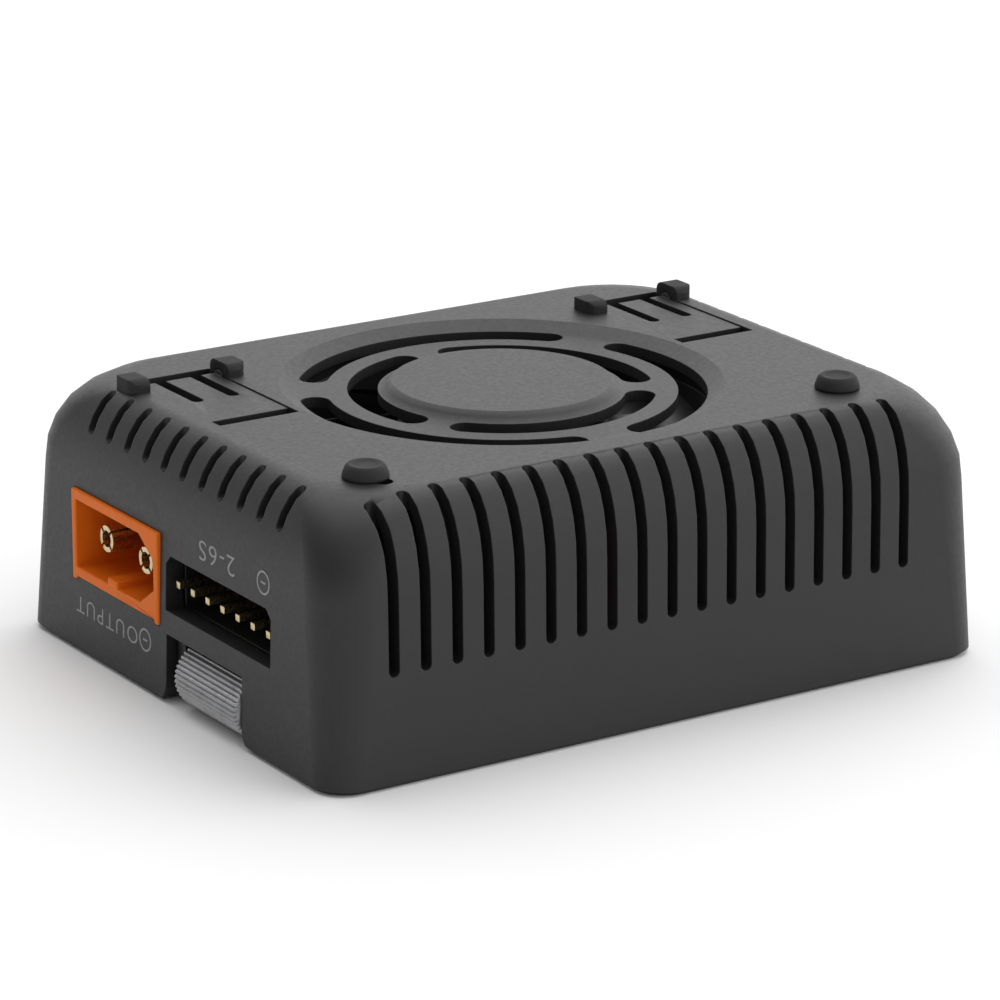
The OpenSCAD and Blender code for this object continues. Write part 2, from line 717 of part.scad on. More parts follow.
// knuckles beside each leg's hinge: flat towards the leg, round on the far side
module knuckle(x_flat, outward) {
    round_r = 0.75;
    top = body_h + knuckle_h;
    difference() {
        intersection() {
            knuckle_plan(x_flat, outward, knuckle_root, top + 1);
            // side view: a low block with its upper edges rounded
            translate([x_flat - 3, 0, 0]) rotate([90, 0, 90]) linear_extrude(6)
                polygon(concat([[knuckle_y[1], knuckle_root], [knuckle_y[1], top - round_r]],
                    arc(knuckle_y[1] - round_r, top - round_r, round_r, 10, 80, 5),
                    arc(knuckle_y[0] + round_r, top - round_r, round_r, 100, 170, 5),
                    [[knuckle_y[0], top - round_r], [knuckle_y[0], knuckle_root]]));
        }
        bar_x(x_flat - 1.2, x_flat + 1.2, hinge_y, hinge_z, hinge_r + 0.08);
    }
}

// plan of a knuckle between two heights, with its two outer corners rounded
module knuckle_plan(x_flat, outward, low, high) {
    round_r = 0.9;
    centre_x = x_flat + outward * (knuckle_t - round_r);
    turn = outward > 0 ? [-90, 0, 90] : [-90, -180, -270];
    translate([0, 0, low]) linear_extrude(high - low)
        polygon(concat([[x_flat, knuckle_y[0]]],
            arc(centre_x, knuckle_y[0] + round_r, round_r, turn[0], turn[1], 5),
            arc(centre_x, knuckle_y[1] - round_r, round_r, turn[1], turn[2], 5),
            [[x_flat, knuckle_y[1]]]));
}

module leg_knuckles() part_frame() color([0.13, 0.13, 0.13])
    for (x = leg_x) {
        for (side = [-1, 1])
            knuckle(x + side * (leg_w / 2 + knuckle_gap), side);
    }

// a leg: an E-shaped plate whose outer prongs flex so that the trunnions snap in
module stand_leg(x) {
    left = x - leg_w / 2;
    right = x + leg_w / 2;
    difference() {
        union() {
            block([left, leg_y, leg_z[0]], [right, hinge_y, leg_z[1]]);
            bar_x(left, right, hinge_y, hinge_z, hinge_r);
            bar_x(left - 1.1, right + 1.1, hinge_y, hinge_z, hinge_r);
        }
        for (dx = leg_slot_x) {
            block([x + dx - leg_slot_r, leg_slot_y, leg_z[0] - 1], [x + dx + leg_slot_r, 43, leg_z[1] + 1]);
            post(x + dx, leg_slot_y, leg_z[0] - 1, leg_z[1] + 1, leg_slot_r);
        }
        // the barrel's crown is cut flush with the plate
        block([left - 0.01, leg_y, leg_z[1]], [right + 0.01, 43, leg_z[1] + 2]);
    }
}

module stand_leg_left() part_frame() color([0.2, 0.2, 0.21]) stand_leg(leg_x[0]);
module stand_leg_right() part_frame() color([0.2, 0.2, 0.21]) stand_leg(leg_x[1]);

housing_shell();
front_panel();
display_window();
display_module();
display_flex();
display_socket();
exit_button();
button_switch();
scroll_wheel();
wheel_shaft();
wheel_carrier();
wheel_switch();
main_board();
output_connector();
output_pins();
input_connector();
input_pins();
balance_header();
balance_pins();
usb_shell();
usb_tongue();
fan_frame();
fan_rotor();
fan_magnet();
fan_shaft();
fan_bearing();
fan_coils();
fan_gasket();
fan_standoffs();
fan_screws();
fan_wires();
fan_plug();
heat_sink();
thermal_pad();
power_transistors();
power_inductor();
capacitors();
microcontroller();
shunt_resistors();
balance_resistors();
buzzer();
case_screws();
rubber_feet();
leg_knuckles();
stand_leg_left();
stand_leg_right();
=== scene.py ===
"""Looks of the balance battery charger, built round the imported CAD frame.

Lengths are in metres unless a name ends in _mm. The charger lies on its display face, fan side up.
Helpers that work in "corner millimetres" count x from the output end, y from the near long side
and z from the display face, as the CAD source does.
"""

import json
from math import asin, cos, pi, radians, sin, sqrt, tan

import bmesh
import bpy
from mathutils import Matrix, Vector


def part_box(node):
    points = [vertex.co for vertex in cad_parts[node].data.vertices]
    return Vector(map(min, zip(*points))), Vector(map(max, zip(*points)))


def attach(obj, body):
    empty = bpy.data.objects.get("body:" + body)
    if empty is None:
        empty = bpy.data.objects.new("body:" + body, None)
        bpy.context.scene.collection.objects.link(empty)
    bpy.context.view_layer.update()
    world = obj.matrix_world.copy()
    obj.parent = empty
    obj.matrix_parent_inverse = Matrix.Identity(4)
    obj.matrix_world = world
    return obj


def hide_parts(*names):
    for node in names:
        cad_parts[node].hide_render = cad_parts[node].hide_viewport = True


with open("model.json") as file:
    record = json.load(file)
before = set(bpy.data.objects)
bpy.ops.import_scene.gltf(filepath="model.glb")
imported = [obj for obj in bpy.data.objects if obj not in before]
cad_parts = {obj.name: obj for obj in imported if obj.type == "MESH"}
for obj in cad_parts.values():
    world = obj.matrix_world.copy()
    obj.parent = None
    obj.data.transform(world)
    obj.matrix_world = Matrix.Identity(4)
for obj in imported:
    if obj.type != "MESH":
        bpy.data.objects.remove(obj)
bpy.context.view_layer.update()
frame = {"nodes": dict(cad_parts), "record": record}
nodes = frame["nodes"]

MM = 0.001

# driving sizes of the housing, in millimetres, as in the CAD source
BODY_L, BODY_W, BODY_H = 67.5, 53.0, 24.0
CORNER_LOW, CORNER_MID, CORNER_TOP = 3.0, 4.5, 9.0
ROUND_H, ROUND_W = 8.0, 4.2
SLOPE = tan(radians(1.5))
FAN_HUB_R, FAN_TIP_R = 9.5, 18.0
WHEEL_R = 3.0

# how the housing's mesh is cleaned and shaded
MERGE_DISTANCE = 1.5e-6
SLIVER_LENGTH = 1e-6
SHARP_ANGLE = radians(32)
SKIN_ANGLE = radians(16)
SKIN_REACH_MM = 0.15
FLAT_TOP_MM = 0.03

# the markings: thickness of the print, height of a capital in font sizes, and the strokes' thinning
# as a share of the height
PRINT_MM = 0.02
CAPITAL_HEIGHT = 0.69
THINNING = 0.012

_low, _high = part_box("housing_shell")
CORNER = Vector(((_low.x + _high.x) / 2 - BODY_L * MM / 2, (_low.y + _high.y) / 2 - BODY_W * MM / 2, 0))


def at(x, y, z):
    """A point in corner millimetres, in the frame's metres."""
    return CORNER + Vector((x, y, z)) * MM


# ---------------------------------------------------------------- node helpers


def set_range(node, low, high, to_low, to_high):
    """Fills in the four limits of a Map Range node."""
    for name, number in (("From Min", low), ("From Max", high), ("To Min", to_low), ("To Max", to_high)):
        node.inputs[name].default_value = number


class Nodes:
    """A small builder for one material's node tree."""

    def __init__(self, name):
        self.material = bpy.data.materials.new(name)
        self.material.use_nodes = True
        self.tree = self.material.node_tree
        self.tree.nodes.clear()
        self.out = self.tree.nodes.new("ShaderNodeOutputMaterial")
        self.bsdf = self.tree.nodes.new("ShaderNodeBsdfPrincipled")
        self.link(self.bsdf.outputs["BSDF"], self.out.inputs["Surface"])

    def add(self, kind, **settings):
        node = self.tree.nodes.new(kind)
        for key, value in settings.items():
            setattr(node, key, value)
        return node

    def link(self, a, b):
        self.tree.links.new(a, b)

    def millimetres(self, stretch=(1, 1, 1)):
        """Object coordinates, in millimetres."""
        coords = self.add("ShaderNodeTexCoord")
        scale = self.add("ShaderNodeMapping")
        scale.inputs["Scale"].default_value = [1000 * s for s in stretch]
        self.link(coords.outputs["Object"], scale.inputs["Vector"])
        return scale.outputs["Vector"]

    def noise(self, where, per_mm, detail=3.0, roughness=0.55):
        node = self.add("ShaderNodeTexNoise")
        node.inputs["Scale"].default_value = per_mm
        node.inputs["Detail"].default_value = detail
        node.inputs["Roughness"].default_value = roughness
        self.link(where, node.inputs["Vector"])
        return node.outputs["Fac"]

    def spread(self, value, low, high, to_low, to_high):
        """Maps a value from one range onto another."""
        node = self.add("ShaderNodeMapRange")
        set_range(node, low, high, to_low, to_high)
        self.link(value, node.inputs["Value"])
        return node.outputs["Result"]

    def mix(self, factor, a, b):
        """Mixes two colours, each an output or an RGB triple."""
        node = self.add("ShaderNodeMix", data_type="RGBA")
        self.link(factor, node.inputs[0])
        for socket, colour in ((node.inputs[6], a), (node.inputs[7], b)):
            if isinstance(colour, bpy.types.NodeSocket):
                self.link(colour, socket)
            else:
                socket.default_value = (*colour, 1)
        return node.outputs[2]

    def rounded_edges(self, radius_mm):
        """Normals that turn softly over an edge, and a mask that is 1 on the edge."""
        edge_dot, flat_dot = 0.8, 0.98
        bevel = self.add("ShaderNodeBevel", samples=6)
        bevel.inputs["Radius"].default_value = radius_mm * MM
        geometry = self.add("ShaderNodeNewGeometry")
        dot = self.add("ShaderNodeVectorMath", operation="DOT_PRODUCT")
        self.link(bevel.outputs["Normal"], dot.inputs[0])
        self.link(geometry.outputs["Normal"], dot.inputs[1])
        return bevel.outputs["Normal"], self.spread(dot.outputs["Value"], flat_dot, edge_dot, 0, 1)

    def bump(self, height, depth_mm, strength=1.0, normal=None):
        node = self.add("ShaderNodeBump")
        node.inputs["Strength"].default_value = strength
        node.inputs["Distance"].default_value = depth_mm * MM
        self.link(height, node.inputs["Height"])
        if normal is not None:
            self.link(normal, node.inputs["Normal"])
        return node.outputs["Normal"]

    def finish(self, colour, roughness, normal=None, **constants):
        """Wires the shader: outputs are linked, plain numbers are set on its own sockets."""
        for name, value in (("Base Color", colour), ("Roughness", roughness)):
            if isinstance(value, bpy.types.NodeSocket):
                self.link(value, self.bsdf.inputs[name])
            else:
                self.bsdf.inputs[name].default_value = value
        if normal is not None:
            self.link(normal, self.bsdf.inputs["Normal"])
        for name, value in constants.items():
            self.bsdf.inputs[name.replace("_", " ").title().replace("Ior", "IOR")].default_value = value
        return self.material


def shade(colour, factor):
    """A colour made lighter or darker."""
    return tuple(min(1.0, c * factor) for c in colour)


# ------------------------------------------------------------------- materials


def moulded_plastic(name, colour, roughness, grain_mm=0.004, edge_mm=0.12, edge_highlight=1.25, gloss=0.5):
    """Spark-textured moulded plastic: fine grain, faint flow mottling, and a painted highlight that makes the
    edges a little lighter.
    """
    n = Nodes(name)
    where = n.millimetres()
    soft_normal, edge = n.rounded_edges(edge_mm)
    mottle = n.noise(where, 0.35, 4)
    fine = n.noise(where, 7.0, 2, 0.7)
    base = n.mix(n.spread(mottle, 0.3, 0.7, 0, 1), shade(colour, 0.95), shade(colour, 1.05))
    speckled = n.mix(n.spread(fine, 0.55, 0.8, 0, 0.35), base, shade(colour, 1.22))
    # painted highlight: the edges are coloured lighter to stand in for light catching them
    edge_highlighted = n.mix(edge, speckled, shade(colour, edge_highlight))
    rough = n.spread(n.noise(where, 2.2, 3), 0.3, 0.7, roughness - 0.05, roughness + 0.05)
    grain = n.bump(fine, grain_mm, 0.6, soft_normal)
    return n.finish(edge_highlighted, rough, grain, specular_ior_level=gloss)


def rubber(name, colour):
    """Soft rubber: dull, dusty, with tiny pits, and a painted highlight on its edges."""
    n = Nodes(name)
    where = n.millimetres()
    soft_normal, edge = n.rounded_edges(0.15)
    dust = n.noise(where, 1.2, 5, 0.65)
    pits = n.add("ShaderNodeTexVoronoi", feature="F1")
    pits.inputs["Scale"].default_value = 5.0
    n.link(where, pits.inputs["Vector"])
    base = n.mix(n.spread(dust, 0.35, 0.75, 0, 1), colour, shade(colour, 1.5))
    # painted highlight: the rubber's edges and rims are coloured lighter to stand in for light catching them
    edge_highlighted = n.mix(edge, base, shade(colour, 1.8))
    return n.finish(edge_highlighted, n.spread(dust, 0.3, 0.7, 0.7, 0.85),
                    n.bump(pits.outputs["Distance"], 0.01, 0.5, soft_normal), specular_ior_level=0.35)


def gloss_cover(name, colour, lit, lit_colour):
    """The display's glossy cover: black print, with the dark active area showing through."""
    n = Nodes(name)
    coords = n.add("ShaderNodeTexCoord")
    split = n.add("ShaderNodeSeparateXYZ")
    n.link(coords.outputs["Object"], split.inputs["Vector"])
    inside = None
    for axis, (low, high) in zip("XY", lit):
        for operation, limit in (("GREATER_THAN", low), ("LESS_THAN", high)):
            test = n.add("ShaderNodeMath", operation=operation)
            test.inputs[1].default_value = limit
            n.link(split.outputs[axis], test.inputs[0])
            if inside is None:
                inside = test.outputs[0]
            else:
                both = n.add("ShaderNodeMath", operation="MULTIPLY")
                n.link(inside, both.inputs[0])
                n.link(test.outputs[0], both.inputs[1])
                inside = both.outputs[0]
    where = n.millimetres()
    smears = n.noise(where, 0.12, 4, 0.6)
    soft_normal, _ = n.rounded_edges(0.15)
    face = n.mix(inside, colour, lit_colour)
    return n.finish(face, n.spread(smears, 0.35, 0.7, 0.06, 0.16),
                    n.bump(smears, 0.002, 0.2, soft_normal), specular_ior_level=0.5, coat_weight=0.4)


def metal(name, colour, roughness, streak=(1, 1, 1), tarnish=0.75, edge_mm=0.06):
    """Plated or machined metal with drawn streaks, a little tarnish and a painted highlight on its edges."""
    n = Nodes(name)
    streaks = n.noise(n.millimetres(streak), 3.0, 4, 0.6)
    patches = n.noise(n.millimetres(), 0.8, 4, 0.6)
    soft_normal, edge = n.rounded_edges(edge_mm)
    aged = n.mix(n.spread(patches, 0.45, 0.75, 0, 1), colour, shade(colour, tarnish))
    # painted highlight: the edges are coloured brighter to stand in for light catching them
    edge_highlighted_metal = n.mix(edge, aged, shade(colour, 1.2))
    return n.finish(edge_highlighted_metal, n.spread(streaks, 0.3, 0.7, roughness - 0.06, roughness + 0.1),
                    n.bump(streaks, 0.003, 0.5, soft_normal), metallic=1.0)


def board_laminate(name):
    """Green solder mask over tracks, with the weave of the laminate faintly under it."""
    n = Nodes(name)
    where = n.millimetres()
    tracks = n.add("ShaderNodeTexBrick")
    tracks.inputs["Scale"].default_value = 0.35
    tracks.inputs["Mortar Size"].default_value = 0.04
    n.link(where, tracks.inputs["Vector"])
    weave = n.add("ShaderNodeTexWave", bands_direction="DIAGONAL")
    weave.inputs["Scale"].default_value = 1.5
    n.link(where, weave.inputs["Vector"])
    mask = n.mix(tracks.outputs["Fac"], (0.008, 0.075, 0.03), (0.012, 0.12, 0.05))
    woven = n.mix(n.spread(weave.outputs["Fac"], 0, 1, 0, 0.25), mask, (0.02, 0.1, 0.05))
    return n.finish(woven, n.spread(n.noise(where, 2, 3), 0.3, 0.7, 0.28, 0.4),
                    n.bump(tracks.outputs["Fac"], 0.02, 0.5))


def sleeved_can(name):
    """Capacitors: a dark sleeve round the side, bare aluminium on the end."""
    n = Nodes(name)
    geometry = n.add("ShaderNodeNewGeometry")
    split = n.add("ShaderNodeSeparateXYZ")
    n.link(geometry.outputs["Normal"], split.inputs["Vector"])
    top = n.spread(split.outputs["Z"], 0.8, 0.9, 0, 1)
    where = n.millimetres()
    scratches = n.noise(n.millimetres((1, 8, 1)), 2, 3)
    sleeve = n.mix(n.noise(where, 0.5, 3), (0.02, 0.022, 0.05), (0.03, 0.035, 0.07))
    colour = n.mix(top, sleeve, (0.6, 0.6, 0.62))
    return n.finish(colour, n.spread(scratches, 0.3, 0.7, 0.3, 0.45), n.bump(scratches, 0.004, 0.4))


def wound_wire(name, colour):
    """Enamelled wire laid in fine turns."""
    n = Nodes(name)
    wave = n.add("ShaderNodeTexWave", bands_direction="Z")
    wave.inputs["Scale"].default_value = 1.6
    wave.inputs["Distortion"].default_value = 0.6
    n.link(n.millimetres(), wave.inputs["Vector"])
    body = n.mix(wave.outputs["Fac"], shade(colour, 0.5), colour)
    return n.finish(body, 0.32, n.bump(wave.outputs["Fac"], 0.08, 0.8), metallic=0.7, coat_weight=0.5)


def printed_mark(name):
    """Pale grey pad print, slightly uneven."""
    n = Nodes(name)
    where = n.millimetres()
    cover = n.noise(where, 4.0, 3)
    ink = n.mix(n.spread(cover, 0.35, 0.7, 0, 1), (0.21, 0.21, 0.215), (0.3, 0.3, 0.305))
    return n.finish(ink, n.spread(cover, 0.3, 0.7, 0.5, 0.65), n.bump(cover, 0.002, 0.4))


active_area = [(at(14, 0, 0).x, at(55.5, 0, 0).x), (at(0, 10, 0).y, at(0, 43, 0).y)]

CASE_GREY = (0.0145, 0.0145, 0.0149)
BLACK = (0.012, 0.012, 0.0125)

materials = {
    "case_plastic": moulded_plastic("case_plastic", CASE_GREY, 0.48, gloss=0.42),
    "dark_plastic": moulded_plastic("dark_plastic", BLACK, 0.45, edge_mm=0.08),
    "rubber_black": rubber("rubber_black", (0.016, 0.016, 0.0165)),
    "foam": rubber("foam", (0.01, 0.01, 0.01)),
    "thermal_pad": rubber("thermal_pad", (0.16, 0.2, 0.28)),
    "orange_plastic": moulded_plastic("orange_plastic", (0.72, 0.148, 0.007), 0.5, 0.004, 0.1, 1.1, 0.16),
    "ivory_plastic": moulded_plastic("ivory_plastic", (0.6, 0.56, 0.45), 0.45),
    "flex": moulded_plastic("flex", (0.4, 0.16, 0.02), 0.3),
    "chip_black": moulded_plastic("chip_black", (0.014, 0.014, 0.014), 0.55, edge_mm=0.06),
    "ferrite": moulded_plastic("ferrite", (0.035, 0.035, 0.038), 0.6, 0.01),
    "wire_red": moulded_plastic("wire_red", (0.35, 0.02, 0.015), 0.35),
    "lcd": metal("lcd", (0.5, 0.51, 0.52), 0.35),
    "display_glass": gloss_cover("display_glass", (0.004, 0.004, 0.005), active_area, (0.012, 0.013, 0.017)),
    "gold_plated": metal("gold_plated", (0.62, 0.5, 0.3), 0.26, (6, 1, 1), 0.8, 0.05),
    "knurled_metal": metal("knurled_metal", (0.42, 0.42, 0.43), 0.36, (1, 6, 1), 0.8, 0.03),
    "steel": metal("steel", (0.55, 0.55, 0.56), 0.3, (1, 5, 1)),
    "heat_sink": metal("heat_sink", (0.6, 0.61, 0.63), 0.4, (1, 8, 1)),
    "brass": metal("brass", (0.65, 0.48, 0.2), 0.3),
    "bearing_bronze": metal("bearing_bronze", (0.42, 0.28, 0.12), 0.45),
    "copper": wound_wire("copper", (0.5, 0.17, 0.05)),
    "board": board_laminate("board"),
    "capacitor_can": sleeved_can("capacitor_can"),
}
mark_material = printed_mark("printed_mark")


# --------------------------------------------------------------- CAD node looks

slot_of = {s["node"]: s["material_slot"] for s in frame["record"]["subparts"]}
PLAIN_EDGE_MM = 0.08
WELD_DISTANCE = 2e-6
BEVEL_ANGLE = radians(35)
bevel_mm = {"output_connector": 0.14, "input_connector": 0.14, "balance_header": 0.1, "exit_button": 0.2,
            "stand_leg_left": 0.1, "stand_leg_right": 0.1, "leg_knuckles": 0.42, "usb_shell": 0.12,
            "front_panel": 0.12, "display_window": 0.1, "fan_frame": 0.12, "balance_pins": 0.06,
            "output_pins": 0.05, "input_pins": 0.05, "heat_sink": 0.08, "rubber_feet": 0.25}
NO_BEVEL = {"housing_shell", "scroll_wheel", "fan_rotor"}


def soften(obj, width_mm):
    """Welds the CAD mesh, rounds its sharp edges and shades it smoothly between them."""
    weld = obj.modifiers.new("weld", "WELD")
    weld.merge_threshold = WELD_DISTANCE
    bevel = obj.modifiers.new("round_edges", "BEVEL")
    bevel.width = width_mm * MM
    bevel.segments = 2
    bevel.limit_method = "ANGLE"
    bevel.angle_limit = BEVEL_ANGLE
    bevel.miter_outer = "MITER_ARC"
    bevel.harden_normals = False
    for polygon in obj.data.polygons:
        polygon.use_smooth = True
    smooth = obj.modifiers.new("weighted_normals", "WEIGHTED_NORMAL")
    smooth.keep_sharp = True
    smooth.weight = 80


for node_name, node_object in nodes.items():
    node_object.data.materials.clear()
    node_object.data.materials.append(materials[slot_of[node_name]])
    if node_name not in NO_BEVEL:
        soften(node_object, bevel_mm.get(node_name, PLAIN_EDGE_MM))


# --------------------------------------------------------------- housing shell


def outline(z):
    """Inset and corner radius of the housing's outer form at a height, in millimetres."""
    shoulder = BODY_H - ROUND_H
    if z <= shoulder:
        part = max(z, 0) / shoulder
        return SLOPE * z, CORNER_LOW + (CORNER_MID - CORNER_LOW) * part
    part = 1 - cos(asin(min(1, (z - shoulder) / ROUND_H)))
    return SLOPE * shoulder + ROUND_W * part, CORNER_MID + (CORNER_TOP - CORNER_MID) * part


def outside(x, y, z):
    """How far a point lies outside the form's outline at its height."""
    inset, radius = outline(z)
    off_x = abs(x - BODY_L / 2) - (BODY_L / 2 - inset - radius)
    off_y = abs(y - BODY_W / 2) - (BODY_W / 2 - inset - radius)
    if off_x > 0 and off_y > 0:
        return sqrt(off_x * off_x + off_y * off_y) - radius
    return max(off_x, off_y) - radius


def skin_normal(point):
    """The true outward normal of the housing's outer form at a point, or None away from the skin."""
    x, y, z = (point - CORNER) / MM
    if z > BODY_H - FLAT_TOP_MM:
        return Vector((0, 0, 1))
    if abs(outside(x, y, z)) > SKIN_REACH_MM:
        return None
    step = 0.01
    return Vector((outside(x + step, y, z) - outside(x - step, y, z),
                   outside(x, y + step, z) - outside(x, y - step, z),
                   outside(x, y, z + step) - outside(x, y, z - step))).normalized()


def smooth_shell(source):
    """A copy of the shell whose outer skin is shaded by the true form, so that its facets don't show.

    Elsewhere a corner keeps its smoothed normal, unless that leans over a sharp edge.
    """
    mesh = source.data.copy()
    work = bmesh.new()
    work.from_mesh(mesh)
    bmesh.ops.remove_doubles(work, verts=work.verts, dist=MERGE_DISTANCE)
    bmesh.ops.dissolve_degenerate(work, edges=work.edges, dist=SLIVER_LENGTH)
    work.to_mesh(mesh)
    work.free()
    for polygon in mesh.polygons:
        polygon.use_smooth = True
    mesh.set_sharp_from_angle(angle=SHARP_ANGLE)
    normals = [Vector(c.vector) for c in mesh.corner_normals]
    for polygon in mesh.polygons:
        for loop in polygon.loop_indices:
            if normals[loop].dot(polygon.normal) < cos(SHARP_ANGLE):
                normals[loop] = Vector(polygon.normal)
            true_normal = skin_normal(mesh.vertices[mesh.loops[loop].vertex_index].co)
            if true_normal and true_normal.dot(polygon.normal) > cos(SKIN_ANGLE):
                normals[loop] = true_normal
    mesh.normals_split_custom_set(normals)
    shell = bpy.data.objects.new("shell_skin", mesh)
    bpy.context.scene.collection.objects.link(shell)
    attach(shell, "case")
    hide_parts("housing_shell")


smooth_shell(nodes["housing_shell"])


# ---------------------------------------------------------------- new meshes


def new_piece(name, work, material, body, replaced, smooth_angle=35):
    """Makes an object of a bmesh, with one material, which rides on a body and replaces CAD nodes."""
    bmesh.ops.recalc_face_normals(work, faces=work.faces)
    mesh = bpy.data.meshes.new(name)
    work.to_mesh(mesh)
    work.free()
    for polygon in mesh.polygons:
        polygon.use_smooth = True
    mesh.set_sharp_from_angle(angle=radians(smooth_angle))
    mesh.materials.append(material)
    obj = bpy.data.objects.new(name, mesh)
    bpy.context.scene.collection.objects.link(obj)
    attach(obj, body)
    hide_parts(*replaced)


def turned_ring(work, centre_x, centre_y, r_mm, z, steps):
    """A circle of vertices round a vertical axis; its radius is in millimetres, its height in metres."""
    ring = []
    for k in range(steps):
        angle = 2 * pi * k / steps
        ring.append(work.verts.new((centre_x + r_mm * MM * cos(angle), centre_y + r_mm * MM * sin(angle), z)))
    return ring


def bridge_rings(work, rings, closed_ends=True):
    """Faces between rings of vertices, and one flat cap on each end."""
    count = len(rings[0])
    for a, b in zip(rings, rings[1:]):
        for i in range(count):
            j = (i + 1) % count
            work.faces.new((a[i], a[j], b[j], b[i]))
    if closed_ends:
        work.faces.new(rings[0])
        work.faces.new(list(reversed(rings[-1])))


def knurled_wheel():
    """The scroll wheel: ridges along its length, each broken into a row of small beads."""
    ridges, beads = 40, 26
    per_ridge, per_bead = 6, 6
    end_inset, groove_depth, bead_depth = 0.35, 0.3, 0.13
    margin = 0.1 * MM
    low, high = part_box("scroll_wheel")
    centre = (low + high) / 2
    half = (high.y - low.y) / 2
    around = ridges * per_ridge
    along = beads * per_bead
    # places along the axis, each with its radius, or None where the knurling sets it
    profile = [(-half, WHEEL_R - end_inset)]
    for i in range(along + 1):
        profile.append((-half + margin + (2 * half - 2 * margin) * i / along, None))
    profile.append((half, WHEEL_R - end_inset))
    work = bmesh.new()
    rings = []
    for index, (y, fixed_r) in enumerate(profile):
        ring = []
        for k in range(around):
            angle = 2 * pi * k / around
            r = fixed_r
            if fixed_r is None:
                bead = abs(sin(pi * (index - 1) / per_bead))
                ridge = abs(sin(pi * k / per_ridge))
                r = WHEEL_R - groove_depth * (1 - ridge ** 0.8) - bead_depth * (1 - bead ** 0.7) * ridge
            ring.append(work.verts.new(centre + Vector((r * cos(angle) * MM, y, r * sin(angle) * MM))))
        rings.append(ring)
    bridge_rings(work, rings)
    new_piece("wheel_knurl", work, materials["knurled_metal"], "scroll_wheel", ["scroll_wheel"],
              50)


def blade_sheet(work, middle, bottom, top, start, side, out, across):
    """One face of a blade: rows from root to tip, each from the leading to the trailing edge."""
    root_r = FAN_HUB_R - 0.3
    camber, half_thickness, edge_thickness = 0.18, 0.22, 0.05
    floor_gap, height_loss = 0.25 * MM, 0.7 * MM
    edge_share = 0.06
    grid = []
    for i in range(out + 1):
        t = i / out
        r = root_r + (FAN_TIP_R - root_r) * t
        chord = radians(34 + 4 * t)
        sweep = radians(16) * t * t
        row = []
        for j in range(across + 1):
            s = j / across
            angle = start + sweep + chord * (s - 0.5)
            rise = (bottom + floor_gap) + (top - bottom - height_loss) * s
            thick = half_thickness * sin(pi * min(max(s, edge_share), 1 - edge_share)) + edge_thickness
            z = rise + camber * sin(pi * s) * MM + side * thick * MM
            row.append(work.verts.new((middle.x + r * MM * cos(angle), middle.y + r * MM * sin(angle), z)))
        grid.append(row)
    return grid


def fan_blade(work, middle, bottom, top, start):
    """A curved, twisted blade: two sheets joined round their rim."""
    across, out = 6, 10
    lower, upper = [blade_sheet(work, middle, bottom, top, start, side, out, across) for side in (-1, 1)]
    for i in range(out):
        for j in range(across):
            work.faces.new((lower[i][j], lower[i][j + 1], lower[i + 1][j + 1], lower[i + 1][j]))
            work.faces.new((upper[i][j], upper[i + 1][j], upper[i + 1][j + 1], upper[i][j + 1]))
    rim = [(0, j) for j in range(across + 1)] + [(i, across) for i in range(1, out + 1)]
    rim += [(out, j) for j in range(across - 1, -1, -1)] + [(i, 0) for i in range(out - 1, 0, -1)]
    for (a, b), (c, d) in zip(rim, rim[1:] + rim[:1]):
        work.faces.new((lower[a][b], lower[c][d], upper[c][d], upper[a][b]))


def fan_blades():
    """The rotor: a rounded hub cup with nine blades."""
    steps, blades = 96, 9
    low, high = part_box("fan_rotor")
    middle = (low + high) / 2
    top, bottom = high.z, low.z
    work = bmesh.new()
    hub = [(FAN_HUB_R, bottom), (FAN_HUB_R, top - 0.8 * MM), (FAN_HUB_R - 0.25, top - 0.25 * MM),
           (FAN_HUB_R - 0.8, top), (6.0, top), (5.8, top - 0.15 * MM), (2.0, top - 0.15 * MM)]
    bridge_rings(work, [turned_ring(work, middle.x, middle.y, r, z, steps) for r, z in hub])
    for blade in range(blades):
        fan_blade(work, middle, bottom, top, 2 * pi * blade / blades)
    new_piece("fan_blades", work, materials["dark_plastic"], "fan_rotor", ["fan_rotor"])


knurled_wheel()
fan_blades()


# -------------------------------------------------------------------- markings


def end_face_matrix(y_mm, z_mm):
    """Places a flat drawing on the drafted face of the output end, upside down as the charger lies."""
    lift_mm = 0.002
    out = Vector((-1, 0, SLOPE)).normalized()
    along = Vector((0, -1, 0))
    basis = Matrix((along, out.cross(along), out)).transposed().to_4x4()
    origin = at(SLOPE * z_mm, y_mm, z_mm) + out * lift_mm * MM
    return Matrix.Translation(origin) @ basis @ Matrix.Rotation(pi, 4, "Z")


def add_print(name, obj_data, matrix):
    """Puts a printed piece on the case."""
    obj = bpy.data.objects.new(name, obj_data)
    obj.matrix_world = matrix
    bpy.context.scene.collection.objects.link(obj)
    obj.data.materials.append(mark_material)
    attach(obj, "case")


def word(name, text, y_mm, z_mm, height_mm, spacing, width):
    """A generic function label in thin capitals, read with the charger standing on its legs."""
    curve = bpy.data.curves.new(name, "FONT")
    curve.body = text
    curve.size = height_mm * MM / CAPITAL_HEIGHT
    curve.align_x = "CENTER"
    curve.align_y = "CENTER"
    curve.space_character = spacing
    curve.extrude = PRINT_MM * MM / 2
    curve.offset = -THINNING * height_mm * MM
    curve.resolution_u = 6
    add_print(name, curve, end_face_matrix(y_mm, z_mm) @ Matrix.Diagonal((width, 1, 1, 1)))


